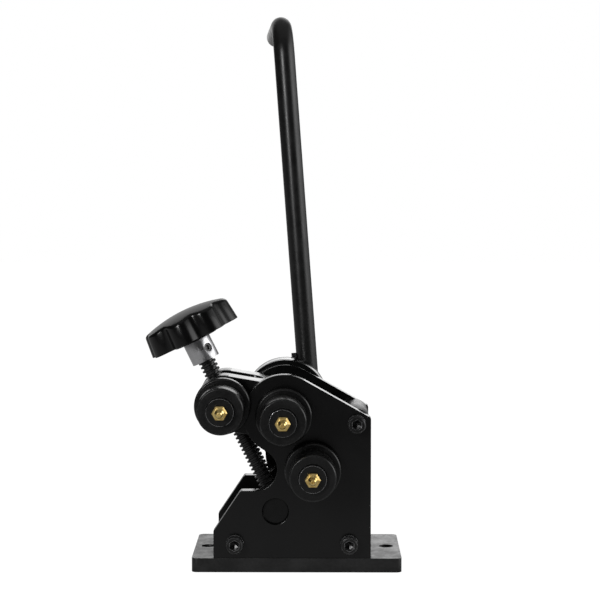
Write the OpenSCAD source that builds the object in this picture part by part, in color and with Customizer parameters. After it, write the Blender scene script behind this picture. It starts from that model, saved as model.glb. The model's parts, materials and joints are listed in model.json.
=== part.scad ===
// Hand cranked ring roller bender, in millimetres.
// X runs to the right, Y from the rollers towards the crank, Z up.
// The origin is the middle of the base's underside.

/* [Base] */
// Width of the base plate
base_w = 188; // [175:1:240]
// Depth of the base plate
base_d = 110; // [104:1:140]
// Thickness of the base plate
base_t = 12.7; // [10:0.1:20]
// Radius of the base plate's corners
base_corner_r = 5; // [1:0.5:12]
// Diameter of the two bench holes
bench_hole_d = 13; // [8:0.5:16]
// Distance from each end of the base to its bench hole
bench_hole_inset = 12; // [10:0.5:16]

/* [Side plates] */
// Thickness of each side plate
plate_t = 12; // [9:0.5:16]
// Clear gap between the side plates
plate_gap = 73; // [66:0.5:80]
// Step from the base's front edge to the front plate
front_inset = 1; // [0:0.5:4]
// Left edge of the side plates
plate_left = -74.4; // [-80:0.1:-70]
// Right edge of the side plates
plate_right = 66.3; // [62:0.1:72]
// Height of the right shoulder where the sloping top starts
shoulder_z = 139; // [125:0.5:150]
// Left end of the lip below the notch
lip_left = -50; // [-56:0.5:-46]
// Height where the slanted left edge turns upright
slant_foot_z = 36.8; // [34:0.1:50]
// Radius of the plates' outer corners
plate_corner_r = 3; // [1:0.5:5]

/* [Axes] */
// Upper roller's axis, across
axis_a_x = -11.3; // [-14:0.1:-8]
// Upper roller's axis, height
axis_a_z = 141.3; // [138:0.1:148]
// Direction from the upper to the lower right roller
angle_b = -62; // [-70:0.5:-55]
// Direction from the upper to the left roller as shown
angle_c = 170.3; // [160:0.1:175]
// Direction of the notch that clears the left roller's axle at the bottom of its travel
notch_angle = 243; // [238:0.5:246]
// Screw pivot, across
pivot_x = -18.9; // [-22:0.1:-14]
// Screw pivot, height
pivot_z = 54.7; // [52:0.1:57]

/* [Rollers] */
// Diameter of the roller bodies
roller_d = 41; // [34:0.5:46]
// Length of the roller bodies
roller_len = 36; // [28:0.5:50]
// Diameter of the roller flanges
flange_d = 50; // [47:0.5:53]
// Thickness of the roller flanges
flange_t = 10; // [7:0.5:14]
// Depth of the groove beside the flange
groove_depth = 1.5; // [0.5:0.1:2.5]
// Width of the groove beside the flange
groove_w = 3; // [1:0.5:5]
// Edge break on the rollers
roller_chamfer = 1; // [0.4:0.1:2]
// Gap from the front plate to the flanges, filled by the washers
roller_standoff = 4; // [2:0.5:8]

/* [Shafts] */
// Diameter of the two driven shafts and of the left axle's journal
shaft_d = 24; // [20:0.5:26]
// How far the shaft ends stand out of the rollers
shaft_proud = 5; // [0:0.5:8]
// Wall of the bronze bushes
bush_wall = 3; // [2:0.25:4]
// Outer diameter of the thrust washers
washer_d = 38; // [34:0.5:44]
// Width and height of the shaft keys
key_w = 6; // [4:0.5:8]
// Diameter of the crank end of the lower shaft
crank_seat_d = 20; // [16:0.5:20]

/* [Swing arm] */
// Half the height of the arm and the radius of its ends
arm_half_h = 24.5; // [22:0.5:27]
// Side gap between the arm and each plate
arm_side_gap = 1; // [0.4:0.1:2]
// Width of the slot that the screw passes through
slot_w = 21; // [20.5:0.5:26]
// Distance from the upper axis to the end of the slot
slot_end = 24; // [22:0.5:25]
// Length of each bush in the arm
arm_bush_len = 20; // [12:0.5:30]
// Diameter of the left axle's barrel in the arm
barrel_d = 32; // [30:0.5:34]
// Diameter of the barrel's cross hole
barrel_hole_d = 20.8; // [19.8:0.1:21]
// Step from the barrel to the left axle's front shoulder
shoulder_step = 1; // [0.5:0.25:1.5]
// Rim of the left axle's rear washer and clip around the barrel
collar_rim = 2; // [1.5:0.25:3]
// Gap between that washer and the notches of the plates
notch_gap = 1; // [0.5:0.25:2]

/* [Feed screw] */
// Outer diameter of the screw
screw_d = 16; // [14:0.5:16]
// Diameter of the screw's lower journal
screw_journal_d = 12; // [9:0.5:13]
// Diameter of the pivot bar
pivot_bar_d = 24; // [22:0.5:28]
// Depth of the pivot bar's ends below the plates' faces
pivot_recess = 1.5; // [0:0.1:4]
// Tilt of the screw past the line of its two pivots
screw_lead = 0.2; // [0:0.05:1]
// Gap from the arm's end to the knob's hub, along the screw
hub_gap = 15; // [6:0.5:30]
// Diameter of the bright hub below the knob
knob_hub_d = 26; // [23:0.5:32]
// Length of the bright hub below the knob
knob_hub_len = 20.5; // [16:0.5:30]

/* [Knob] */
// Diameter over the knob's lobes
knob_d = 88; // [70:1:96]
// Height of the knob's rim
knob_rim_h = 20.5; // [14:0.5:26]
// Rise of the knob's domed top
knob_dome_h = 7; // [3:0.5:10]
// Draft of the knob's side
knob_draft = 6; // [0:0.5:8]
// Number of lobes
knob_lobes = 8; // [5:1:10]
// Depth of the hollows between the lobes
lobe_depth = 6; // [3:0.5:9]
// How much the hollows narrow
lobe_power = 1.6; // [1:0.1:3]
// Turn of the knob as shown
knob_phase = 35; // [0:1:45]
// Turn of the hub's set screw to the right of the front
set_screw_turn = 38; // [0:1:90]
// Diameter of the boss ring below the knob
knob_boss_d = 42; // [34:0.5:56]
// Height of the boss ring below the knob
knob_boss_h = 2; // [1:0.5:4]

/* [Gears] */
// Gear module, which sets the distance between the roller axes
gear_module = 2.5; // [2.45:0.01:2.6]
// Teeth on each gear
gear_teeth = 22; // [22:1:23]
// Face width of the gears
gear_w = 20; // [14:0.5:22]
// Play at the pitch circle
gear_backlash = 0.25; // [0.15:0.05:0.4]

/* [Gear cover] */
// Outer radius of the cover around both axes
cover_r = 39.5; // [38:0.5:44]
// Depth of the cover behind the rear plate
cover_depth = 33; // [31:0.5:45]
// Wall of the cover
cover_wall = 4; // [3:0.5:5]
// Thickness of the sheet that closes the cover at the rear plate
cover_sheet_t = 2; // [1:0.5:4]
// Radius of the sheet's flange around the lower axis
sheet_flange_r = 45; // [42:0.5:47]
// Distance of the waist screw from the inside of the cover's wall
waist_screw_inset = 8.5; // [8:0.25:9]
// Angle of each lug from the line between the axes
lug_spread = 40; // [34:1:46]
// Height of the lugs
lug_h = 10; // [6:0.5:20]

/* [Crank] */
// Outer diameter of the handle tube
handle_d = 20; // [18:0.5:26]
// Wall of the handle tube
handle_wall = 3; // [2:0.25:4]
// Length from the crank's axis to the grip's axis
handle_len = 407; // [250:1:500]
// Lean of the handle to the left
handle_lean = 4.2; // [0:0.1:10]
// Bend radius of the handle
bend_r = 30; // [25:1:60]
// Straight length of the grip behind the bend
grip_len = 110; // [80:1:160]
// Turn of the grip to the left of straight back
grip_yaw = 3.5; // [0:0.5:8]
// Diameter of the crank hub
crank_hub_d = 40; // [36:0.5:50]
// Length of the crank hub
crank_hub_len = 28; // [26:0.5:40]
// Length of the spigot inside the handle, from the crank's axis
spigot_len = 112; // [100:1:150]
// Height of the bolt that holds the handle, above the crank's axis
handle_bolt_z = 85.5; // [60:0.5:90]

/* [Fasteners] */
// Upper tie, across and up
tie_upper = [53.6, 133.7]; // [-70:0.1:160]
// Lower right tie, across and up
tie_right = [47, 25.5]; // [-70:0.1:160]
// Lower left tie, across and up
tie_left = [-55.3, 25.6]; // [-70:0.1:160]
// Diameter of the tie spacers
spacer_d = 24; // [20:0.5:24]
// Diameter of the plate bolts
bolt_d = 10; // [8:1:10]
// Length of thread in the spacers
bolt_grip = 18; // [12:1:30]
// Diameter of the base and cover bolts
small_bolt_d = 6; // [5:0.5:6]
// Distance from each end of a plate to its base bolts
base_bolt_inset = 34; // [30:1:44]

/* [Clearances] */
// Radial gap of running fits
run_gap = 0.06; // [0.02:0.01:0.1]
// Radial gap of fixed seats
seat_gap = 0.02; // [0.01:0.01:0.05]
// Face gap between pieces that turn against each other
face_gap = 0.3; // [0.1:0.1:0.6]

/* [Hidden] */
$fn = 64;
gear_pressure = 20;
flank_steps = 4;
eps = 0.5;

// Roller axes and screw pivot as [x, z]
centre_dist = gear_module * gear_teeth;
axis_a = [axis_a_x, axis_a_z];
function polar(p, r, a) = p + r * [cos(a), sin(a)];
axis_b = polar(axis_a, centre_dist, angle_b);
axis_c = polar(axis_a, centre_dist, angle_c);
pivot = [pivot_x, pivot_z];
notch = polar(axis_a, centre_dist, notch_angle);
axle_collar_d = barrel_d + 2 * collar_rim;
notch_r = axle_collar_d / 2 + notch_gap;
hump_r = centre_dist - notch_r;
lip_z = notch[1] - notch_r;
ties = [tie_upper, tie_right, tie_left];

// Stations along Y, from the front
front_y0 = -base_d / 2 + front_inset;
front_y1 = front_y0 + plate_t;
rear_y0 = front_y1 + plate_gap;
rear_y1 = rear_y0 + plate_t;
mid_y = (front_y1 + rear_y0) / 2;
flange_y = front_y0 - roller_standoff;
body_y = flange_y - flange_t;
roller_y0 = body_y - roller_len;
shaft_y0 = roller_y0 - shaft_proud;
arm_y0 = front_y1 + arm_side_gap;
arm_y1 = rear_y0 - arm_side_gap;
cover_y0 = rear_y1 + cover_sheet_t;
gear_spacer = 1;
gear_y0 = cover_y0 + gear_spacer;
gear_y1 = gear_y0 + gear_w;
clip_t = 1.6;
clip_end = 2.4;
gear_clip_y = gear_y1;
shaft_a_y1 = gear_clip_y + clip_t + clip_end;
cover_y1 = rear_y1 + cover_depth;
crank_gap = 1;
crank_y = cover_y1 + crank_gap + max(crank_hub_len / 2, small_bolt_d + handle_d / 2);
hub_y0 = crank_y - crank_hub_len / 2;
hub_y1 = crank_y + crank_hub_len / 2;

// Bushes and keys
bush_d = shaft_d + 2 * bush_wall;
key_len = gear_w - 4;
key_depth = key_w / 2;

// Left axle
axle_tail = 7;
axle_y1 = arm_y1 + axle_tail;
axle_washer_t = 2;
shoulder_d = barrel_d + 2 * shoulder_step;
roller_bush_lip = 4;
ring_section = 2;

// Screw, measured along its own axis from the pivot
pivot_to_c = norm(axis_c - pivot);
screw_tilt = atan2(pivot[0] - axis_c[0], axis_c[1] - pivot[1]) + screw_lead;
hub_z0 = pivot_to_c + arm_half_h + hub_gap;
boss_z0 = hub_z0 + knob_hub_len;
knob_z0 = boss_z0 + knob_boss_h;
screw_top = knob_z0 + knob_rim_h / 2;
pivot_flat = pivot_bar_d / 2 - 2;
thrust_t = 2;
screw_shoulder = pivot_flat + thrust_t + face_gap;
nut_z1 = -pivot_flat - thrust_t - face_gap;
nut_h = 9;
nut_af = screw_journal_d * 1.5;
journal_z0 = nut_z1 - nut_h - 1.5;
knob_screw_d = 8;
knob_spindle_d = screw_d - 4;

// Grease nipples
nipple_thread_d = 8;
nipple_thread_len = 9;
nipple_af = 12;
nipple_hex_h = 5.5;
nipple_tip_len = 8;

// Socket head screws
function head_d(d) = 1.6 * d;
function hex_d(af) = af / cos(30);

// Handle
handle_bore = handle_d - 2 * handle_wall;
spigot_d = handle_bore - 2 * seat_gap;
handle_z0 = crank_hub_d / 2 + 1;
handle_bolt_d = 6;
handle_bolt_end = spigot_d / 2 - 2;
plug_depth = 12;
plug_head = 3;

steel = "#b9bcc0";
black = "#1d1e20";
bronze = "#a9793f";
brass = "#c9a24b";

// Cylinder along Y at p = [x, z]
module ycyl(p, d, y0, y1) {
    translate([p[0], y1, p[1]]) rotate([90, 0, 0]) cylinder(d = d, h = y1 - y0);
}

// Ring along Y
module yring(p, d, bore, y0, y1) {
    difference() {
        ycyl(p, d, y0, y1);
        ycyl(p, bore, y0 - eps, y1 + eps);
    }
}

// Round-ended prism along Y between two axes
module ystadium(p, q, r, y0, y1) {
    run = norm(q - p);
    translate([p[0], y1, p[1]]) rotate([0, -atan2(q[1] - p[1], q[0] - p[0]), 0])
        rotate([90, 0, 0]) linear_extrude(y1 - y0) {
            circle(r = r);
            translate([run, 0]) circle(r = r);
            translate([0, -r]) square([run, 2 * r]);
        }
}

// Bar along X with its middle at y, z
module xcyl(d, x0, x1) {
    translate([x0, 0, 0]) rotate([0, 90, 0]) cylinder(d = d, h = x1 - x0);
}

// Upright socket head screw: the seat of the head is at z = 0, the shank points down
module socket_screw(d, shank) {
    difference() {
        union() {
            cylinder(d = head_d(d), h = d);
            translate([0, 0, -shank]) cylinder(d = d, h = shank + eps);
        }
        translate([0, 0, d / 2]) cylinder(d = hex_d(0.8 * d), h = d, $fn = 6);
    }
}

// Frame of the screw: origin at the pivot, Z along the screw towards the knob
module at_screw() {
    translate([pivot[0], mid_y, pivot[1]]) rotate([0, -screw_tilt, 0]) children();
}

// Frame of the crank: origin on its axis, Z along the handle
module at_crank() {
    translate([axis_b[0], crank_y, axis_b[1]]) rotate([0, -handle_lean, 0]) children();
}

// Base

module base_bolt_places() {
    for (x = [plate_left + base_bolt_inset, plate_right - base_bolt_inset])
        for (y = [front_y0 + plate_t / 2, rear_y0 + plate_t / 2])
            translate([x, y, 0]) children();
}

base_head_z = small_bolt_d + 0.7;
base_bolt_bite = 16;
base_bolt_len = base_t - base_head_z + base_bolt_bite;

module base_plate() {
    color("#2b2c2e") difference() {
        union() {
            translate([-base_w / 2 + base_corner_r, -base_d / 2, 0])
                cube([base_w - 2 * base_corner_r, base_d, base_t]);
            translate([-base_w / 2, -base_d / 2 + base_corner_r, 0])
                cube([base_w, base_d - 2 * base_corner_r, base_t]);
            for (x = [-1, 1], y = [-1, 1])
                translate([x * (base_w / 2 - base_corner_r), y * (base_d / 2 - base_corner_r), 0])
                    cylinder(r = base_corner_r, h = base_t);
        }
        for (x = [-1, 1])
            translate([x * (base_w / 2 - bench_hole_inset), 0, -eps]) cylinder(d = bench_hole_d, h = base_t + 2 * eps);
        base_bolt_places() {
            translate([0, 0, -eps]) cylinder(d = small_bolt_d + 2 * seat_gap, h = base_t + 2 * eps);
            translate([0, 0, -eps]) cylinder(d = head_d(small_bolt_d) + 1, h = base_head_z + eps);
        }
    }
}

module base_bolts() {
    color(steel) base_bolt_places()
        translate([0, 0, base_head_z]) mirror([0, 0, 1]) socket_screw(small_bolt_d, base_bolt_len);
}

// Side plates

// Centre and two tangent points of a rounded convex corner at b, between a and c
function unit(v) = v / norm(v);
function half_turn(a, b, c) = acos(unit(a - b) * unit(c - b)) / 2;
function corner_run(a, b, c, r) = r / tan(half_turn(a, b, c));
function corner_in(a, b, c, r) = b + unit(a - b) * corner_run(a, b, c, r);
function corner_out(a, b, c, r) = b + unit(c - b) * corner_run(a, b, c, r);
function corner_mid(a, b, c, r) =
    b + unit(unit(a - b) + unit(c - b)) * r / sin(half_turn(a, b, c));

// Where the sloping top leaves the right shoulder and touches the hump
plate_shoulder = [plate_right, shoulder_z];
to_hump = axis_a - plate_shoulder;
hump_touch = polar(axis_a, hump_r, atan2(to_hump[1], to_hump[0]) - asin(hump_r / norm(to_hump)) - 90);
plate_lip = [lip_left, lip_z];
plate_slant_foot = [plate_left, slant_foot_z];
plate_foot = [plate_right, base_t];
notch_touch = polar(axis_a, hump_r, notch_angle);
notch_foot = [notch[0], lip_z];

module plate_outline() {
    difference() {
        union() {
            polygon([
                [plate_left, base_t],
                plate_foot,
                corner_in(plate_foot, plate_shoulder, hump_touch, plate_corner_r),
                corner_out(plate_foot, plate_shoulder, hump_touch, plate_corner_r),
                hump_touch,
                axis_a,
                notch_touch,
                notch,
                notch_foot,
                corner_in(notch_foot, plate_lip, plate_slant_foot, plate_corner_r),
                corner_out(notch_foot, plate_lip, plate_slant_foot, plate_corner_r),
                plate_slant_foot
            ]);
            translate(axis_a) circle(r = hump_r);
            translate(corner_mid(plate_foot, plate_shoulder, hump_touch, plate_corner_r))
                circle(r = plate_corner_r);
            translate(corner_mid(notch_foot, plate_lip, plate_slant_foot, plate_corner_r))
                circle(r = plate_corner_r);
        }
        translate(notch) circle(r = notch_r);
    }
}

module side_plate(y0) {
    y1 = y0 + plate_t;
    difference() {
        translate([0, y1, 0]) rotate([90, 0, 0]) linear_extrude(plate_t) plate_outline();
        for (p = [axis_a, axis_b]) ycyl(p, bush_d + 2 * seat_gap, y0 - eps, y1 + eps);
        ycyl(pivot, pivot_bar_d + 2 * run_gap, y0 - eps, y1 + eps);
        for (p = ties) ycyl(p, bolt_d + 2 * seat_gap, y0 - eps, y1 + eps);
        base_bolt_places()
            cylinder(d = small_bolt_d + 2 * seat_gap, h = base_head_z + base_bolt_len + eps);
    }
}

module front_plate() {
    color(black) side_plate(front_y0);
}

module rear_plate() {
    color(black) difference() {
        side_plate(rear_y0);
        for (p = cover_screw_axes) ycyl(p, small_bolt_d + 2 * seat_gap, rear_y0 - eps, rear_y1 + eps);
    }
}

module tie_spacers() {
    color(steel) for (p = ties) difference() {
        ycyl(p, spacer_d, front_y1, rear_y0);
        ycyl(p, bolt_d + 2 * seat_gap, front_y1 - eps, front_y1 + bolt_grip + 2);
        ycyl(p, bolt_d + 2 * seat_gap, rear_y0 - bolt_grip - 2, rear_y0 + eps);
    }
}

module plate_bolts() {
    shank = plate_t + bolt_grip;
    color(black) for (p = ties) {
        translate([p[0], front_y0, p[1]]) rotate([90, 0, 0]) socket_screw(bolt_d, shank);
        translate([p[0], rear_y1, p[1]]) rotate([-90, 0, 0]) socket_screw(bolt_d, shank);
    }
}

module plate_bushes() {
    bore = shaft_d + 2 * run_gap;
    color(bronze) for (p = [axis_a, axis_b]) {
        yring(p, bush_d, bore, front_y0, front_y1);
        yring(p, bush_d, bore, rear_y0, gear_y0 - face_gap);
    }
}

// Rollers

module roller(p, bore) {
    color(black) translate([p[0], flange_y, p[1]]) rotate([90, 0, 0]) rotate_extrude()
        polygon([
            [bore / 2, 0],
            [flange_d / 2 - roller_chamfer, 0],
            [flange_d / 2, roller_chamfer],
            [flange_d / 2, flange_t - roller_chamfer],
            [flange_d / 2 - roller_chamfer, flange_t],
            [roller_d / 2 - groove_depth, flange_t],
            [roller_d / 2 - groove_depth, flange_t + groove_w],
            [roller_d / 2, flange_t + groove_w],
            [roller_d / 2, flange_t + roller_len - roller_chamfer],
            [roller_d / 2 - roller_chamfer, flange_t + roller_len],
            [bore / 2, flange_t + roller_len]
        ]);
}

// Key on top of a shaft, half in the shaft
module shaft_key(p, y0, y1, grow = 0) {
    translate([p[0] - key_w / 2 - grow, y0 - grow, p[1] + shaft_d / 2 - key_depth - grow])
        cube([key_w + 2 * grow, y1 - y0 + 2 * grow, key_w + 2 * grow]);
}

module roller_key(p, grow = 0) {
    shaft_key(p, body_y - key_len, body_y, grow);
}

module gear_key(p, grow = 0) {
    middle = (gear_y0 + gear_y1) / 2;
    shaft_key(p, middle - key_len / 2, middle + key_len / 2, grow);
}

module driven_roller(p) {
    difference() {
        roller(p, shaft_d + 2 * seat_gap);
        roller_key(p, seat_gap);
    }
}

module thrust_washer(p) {
    color(bronze) yring(p, washer_d, shaft_d + 2 * seat_gap, flange_y, front_y0 - face_gap);
}

// Shaft with a drilled front end for its grease nipple and seats for two keys and a clip
module driven_shaft(p, y1) {
    difference() {
        ycyl(p, shaft_d, shaft_y0, y1);
        ycyl(p, nipple_thread_d + 2 * seat_gap, shaft_y0 - eps, shaft_y0 + nipple_thread_len + 1);
        roller_key(p, seat_gap);
        gear_key(p, seat_gap);
        clip_groove(p, shaft_d, gear_clip_y);
    }
}

clip_depth = 1.2;
clip_rim = 3.5;
clip_d = shaft_d + 2 * clip_rim;

module clip_groove(p, d, y) {
    difference() {
        ycyl(p, d + 2 * eps, y - seat_gap, y + clip_t + seat_gap);
        ycyl(p, d - 2 * clip_depth, y - 2 * eps, y + clip_t + 2 * eps);
    }
}

module retaining_clip(p, d, outer, y) {
    bore = d - 2 * clip_depth + 2 * seat_gap;
    gap = d / 4;
    color(steel) difference() {
        yring(p, outer, bore, y, y + clip_t);
        translate([p[0] - gap / 2, y - eps, p[1] - d]) cube([gap, clip_t + 2 * eps, d]);
    }
}

module nipple(p) {
    color(brass) translate([p[0], shaft_y0, p[1]]) rotate([90, 0, 0]) {
        translate([0, 0, -nipple_thread_len]) cylinder(d = nipple_thread_d, h = nipple_thread_len + eps);
        cylinder(d = hex_d(nipple_af), h = nipple_hex_h, $fn = 6);
        rotate_extrude() polygon([
            [0, nipple_hex_h - eps],
            [nipple_af / 2 - 2, nipple_hex_h - eps],
            [nipple_af / 2 - 2, nipple_hex_h + 1.5],
            [2.4, nipple_hex_h + 3.2],
            [2.4, nipple_hex_h + nipple_tip_len - 3],
            [3.3, nipple_hex_h + nipple_tip_len - 2],
            [2, nipple_hex_h + nipple_tip_len],
            [0, nipple_hex_h + nipple_tip_len]
        ]);
    }
}

// Upper roller train

module shaft_a() {
    color(black) driven_shaft(axis_a, shaft_a_y1);
}

module roller_a() {
    driven_roller(axis_a);
}

module roller_key_a() {
    color(steel) roller_key(axis_a);
}

module thrust_washer_a() {
    thrust_washer(axis_a);
}

module nipple_a() {
    nipple(axis_a);
}

module gear_a() {
    spur_gear(axis_a, angle_b);
}

module gear_key_a() {
    color(steel) gear_key(axis_a);
}

module gear_clip_a() {
    retaining_clip(axis_a, shaft_d, clip_d, gear_clip_y);
}

// Lower right roller train

module shaft_b() {
    color(black) difference() {
        union() {
            driven_shaft(axis_b, hub_y0 - eps);
            ycyl(axis_b, crank_seat_d, hub_y0 - 2 * eps, hub_y1);
        }
        at_crank() xcyl(hub_pin_d + 2 * seat_gap, -crank_hub_d, crank_hub_d);
    }
}

module roller_b() {
    driven_roller(axis_b);
}

module roller_key_b() {
    color(steel) roller_key(axis_b);
}

module thrust_washer_b() {
    thrust_washer(axis_b);
}

module nipple_b() {
    nipple(axis_b);
}

// A gap of this gear faces a tooth of the upper one
module gear_b() {
    spur_gear(axis_b, angle_b + 180 + 180 / gear_teeth);
}

module gear_key_b() {
    color(steel) gear_key(axis_b);
}

module gear_clip_b() {
    retaining_clip(axis_b, shaft_d, clip_d, gear_clip_y);
}

// Gears with involute teeth

pitch_r = centre_dist / 2;
involute_r = pitch_r * cos(gear_pressure);
tip_r = pitch_r + gear_module;
root_r = pitch_r - 1.25 * gear_module;
function involute(a) = tan(a) * 180 / PI - a;
tooth_half = 90 / gear_teeth - gear_backlash / 4 / pitch_r * 180 / PI + involute(gear_pressure);
function flank_angle(r) = tooth_half - involute(acos(min(1, involute_r / r)));
function flank_r(i) = involute_r + (tip_r - involute_r) * i / flank_steps;

// One tooth pointing along angle a, from its right root to its left root
function tooth(a) = concat(
    [polar([0, 0], root_r, a - flank_angle(involute_r))],
    [for (i = [0 : flank_steps]) polar([0, 0], flank_r(i), a - flank_angle(flank_r(i)))],
    [for (i = [flank_steps : -1 : 0]) polar([0, 0], flank_r(i), a + flank_angle(flank_r(i)))],
    [polar([0, 0], root_r, a + flank_angle(involute_r))]
);

module spur_gear(p, first_tooth) {
    color("#6b6e72") difference() {
        translate([p[0], gear_y1, p[1]]) rotate([90, 0, 0]) linear_extrude(gear_w)
            polygon([for (t = [0 : gear_teeth - 1]) each tooth(first_tooth + t * 360 / gear_teeth)]);
        ycyl(p, shaft_d + 2 * seat_gap, gear_y0 - eps, gear_y1 + eps);
        gear_key(p, seat_gap);
    }
}

// Gear cover

cover_boss_d = 12;
lug_d = 14;
cover_bush_d = bush_d;

// One screw goes through the waist, where the gears leave room, and two hold lugs at the lower end
waist_screw = polar((axis_a + axis_b) / 2, cover_r - cover_wall - waist_screw_inset, angle_b + 90);
lug_r = cover_r + head_d(small_bolt_d) / 2 + 0.7;
lug_screws = [for (side = [-1, 1]) polar(axis_b, lug_r, angle_b + side * lug_spread)];
cover_screw_axes = concat([waist_screw], lug_screws);
lug_y1 = cover_y0 + lug_h;

module gear_cover() {
    inner_r = cover_r - cover_wall;
    color(black) difference() {
        union() {
            ystadium(axis_a, axis_b, cover_r, cover_y0, cover_y1);
            for (p = lug_screws) ystadium(p, axis_b, lug_d / 2, cover_y0, lug_y1);
        }
        difference() {
            ystadium(axis_a, axis_b, inner_r, cover_y0 - eps, cover_y1 - cover_wall);
            ycyl(waist_screw, cover_boss_d, cover_y0 - 2 * eps, cover_y1);
        }
        ycyl(axis_b, cover_bush_d + 2 * seat_gap, cover_y1 - cover_wall - eps, cover_y1 + eps);
        for (p = cover_screw_axes) ycyl(p, small_bolt_d + 2 * seat_gap, cover_y0 - eps, cover_y1 + eps);
    }
}

// Flat sheet between the rear plate and the cover
module cover_sheet() {
    color(black) difference() {
        union() {
            ystadium(axis_a, axis_b, cover_r, rear_y1, cover_y0);
            ycyl(axis_b, 2 * sheet_flange_r, rear_y1, cover_y0);
            for (p = lug_screws) ystadium(p, axis_b, lug_d / 2, rear_y1, cover_y0);
        }
        for (p = [axis_a, axis_b]) ycyl(p, bush_d + 2 * seat_gap, rear_y1 - eps, cover_y0 + eps);
        for (p = cover_screw_axes) ycyl(p, small_bolt_d + 2 * seat_gap, rear_y1 - eps, cover_y0 + eps);
    }
}

module cover_bush() {
    color(bronze) yring(axis_b, cover_bush_d, shaft_d + 2 * run_gap, cover_y1 - cover_wall, cover_y1);
}

module cover_screw(p, seat_y) {
    translate([p[0], seat_y, p[1]]) rotate([-90, 0, 0]) socket_screw(small_bolt_d, seat_y - rear_y0 - 1);
}

module cover_screws() {
    color(steel) {
        cover_screw(waist_screw, cover_y1);
        for (p = lug_screws) cover_screw(p, lug_y1);
    }
}

// Crank

hub_pin_d = 6;

module crank_hub() {
    color(black) difference() {
        union() {
            ycyl(axis_b, crank_hub_d, hub_y0, hub_y1);
            at_crank() cylinder(d = spigot_d, h = spigot_len);
        }
        ycyl(axis_b, crank_seat_d + 2 * seat_gap, hub_y0 - eps, hub_y1 + eps);
        at_crank() xcyl(hub_pin_d + 2 * seat_gap, -crank_hub_d, crank_hub_d);
        at_crank() translate([0, 0, handle_bolt_z])
            xcyl(handle_bolt_d + 2 * seat_gap, -handle_d, handle_bolt_end + eps);
    }
}

module hub_pin() {
    color(steel) at_crank() xcyl(hub_pin_d, -crank_hub_d / 2 + 1, crank_hub_d / 2 - 1);
}

// Upright run, quarter bend and grip of a round bar that follows the handle's centre line
module handle_path(d, z0, over) {
    top = handle_len - bend_r;
    rotate([0, 0, grip_yaw]) {
        translate([0, 0, z0]) cylinder(d = d, h = top - z0);
        translate([0, bend_r, top]) rotate([0, 0, -90]) rotate([90, 0, 0])
            rotate_extrude(angle = 90) translate([bend_r, 0]) circle(d = d);
        translate([0, bend_r, handle_len]) rotate([-90, 0, 0]) cylinder(d = d, h = grip_len + over);
    }
}

module handle() {
    color(black) at_crank() difference() {
        handle_path(handle_d, handle_z0, 0);
        handle_path(handle_bore, handle_z0 - eps, eps);
        translate([0, 0, handle_bolt_z]) xcyl(handle_bolt_d + 2 * seat_gap, -handle_d, 0);
    }
}

bolt_head_af = 10;
bolt_head_h = 4.5;

module handle_bolt() {
    color(black) at_crank() translate([0, 0, handle_bolt_z]) {
        translate([-handle_d / 2, 0, 0]) rotate([0, -90, 0])
            cylinder(d = hex_d(bolt_head_af), h = bolt_head_h, $fn = 6);
        xcyl(handle_bolt_d, -handle_d / 2 - eps, handle_bolt_end);
    }
}

module grip_plug() {
    color(black) at_crank() rotate([0, 0, grip_yaw])
        translate([0, bend_r + grip_len, handle_len]) rotate([-90, 0, 0]) {
            translate([0, 0, -plug_depth]) cylinder(d = handle_bore - 2 * seat_gap, h = plug_depth + eps);
            cylinder(d1 = handle_d, d2 = handle_d - 2, h = plug_head);
        }
}

// Swing arm

module arm_block() {
    color(black) difference() {
        ystadium(axis_a, axis_c, arm_half_h, arm_y0, arm_y1);
        ycyl(axis_a, bush_d + 2 * seat_gap, arm_y0 - eps, arm_y1 + eps);
        ycyl(axis_c, barrel_d + 2 * run_gap, arm_y0 - eps, arm_y1 + eps);
        translate([axis_a[0], mid_y, axis_a[1]]) rotate([0, -angle_c, 0]) {
            slot_h = 2 * arm_half_h + 2 * eps;
            slot_mid = slot_end + slot_w / 2;
            translate([slot_mid, -slot_w / 2, -slot_h / 2])
                cube([centre_dist + arm_half_h + eps - slot_mid, slot_w, slot_h]);
            translate([slot_mid, 0, -slot_h / 2]) cylinder(d = slot_w, h = slot_h);
        }
    }
}

module arm_bushes() {
    bore = shaft_d + 2 * run_gap;
    color(bronze) {
        yring(axis_a, bush_d, bore, arm_y0, arm_y0 + arm_bush_len);
        yring(axis_a, bush_d, bore, arm_y1 - arm_bush_len, arm_y1);
    }
}

// Left axle and its idle roller

axle_washer_y = arm_y1 + face_gap;
axle_clip_y = axle_washer_y + axle_washer_t;
ring_y = flange_y - flange_t / 2;

module axle_c() {
    color(black) difference() {
        union() {
            ycyl(axis_c, shaft_d, shaft_y0, flange_y);
            ycyl(axis_c, shoulder_d, flange_y + face_gap, arm_y0 - face_gap);
            ycyl(axis_c, shaft_d, flange_y - eps, flange_y + 1);
            ycyl(axis_c, barrel_d, arm_y0 - 1, axle_y1);
        }
        ycyl(axis_c, nipple_thread_d + 2 * seat_gap, shaft_y0 - eps, shaft_y0 + nipple_thread_len + 1);
        difference() {
            ycyl(axis_c, shaft_d + 2 * eps, ring_y - ring_section / 2, ring_y + ring_section / 2);
            ycyl(axis_c, shaft_d - ring_section, ring_y - ring_section, ring_y + ring_section);
        }
        clip_groove(axis_c, barrel_d, axle_clip_y);
        translate([axis_c[0], mid_y, axis_c[1]]) rotate([0, -screw_tilt, 0])
            cylinder(d = barrel_hole_d, h = 2 * barrel_d, center = true);
    }
}

module axle_washer() {
    color(steel) yring(axis_c, axle_collar_d, barrel_d + 2 * seat_gap, axle_washer_y, axle_clip_y);
}

module axle_clip() {
    retaining_clip(axis_c, barrel_d, axle_collar_d, axle_clip_y);
}

module nipple_c() {
    nipple(axis_c);
}

roller_bush_y0 = roller_y0 + roller_bush_lip;

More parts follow.
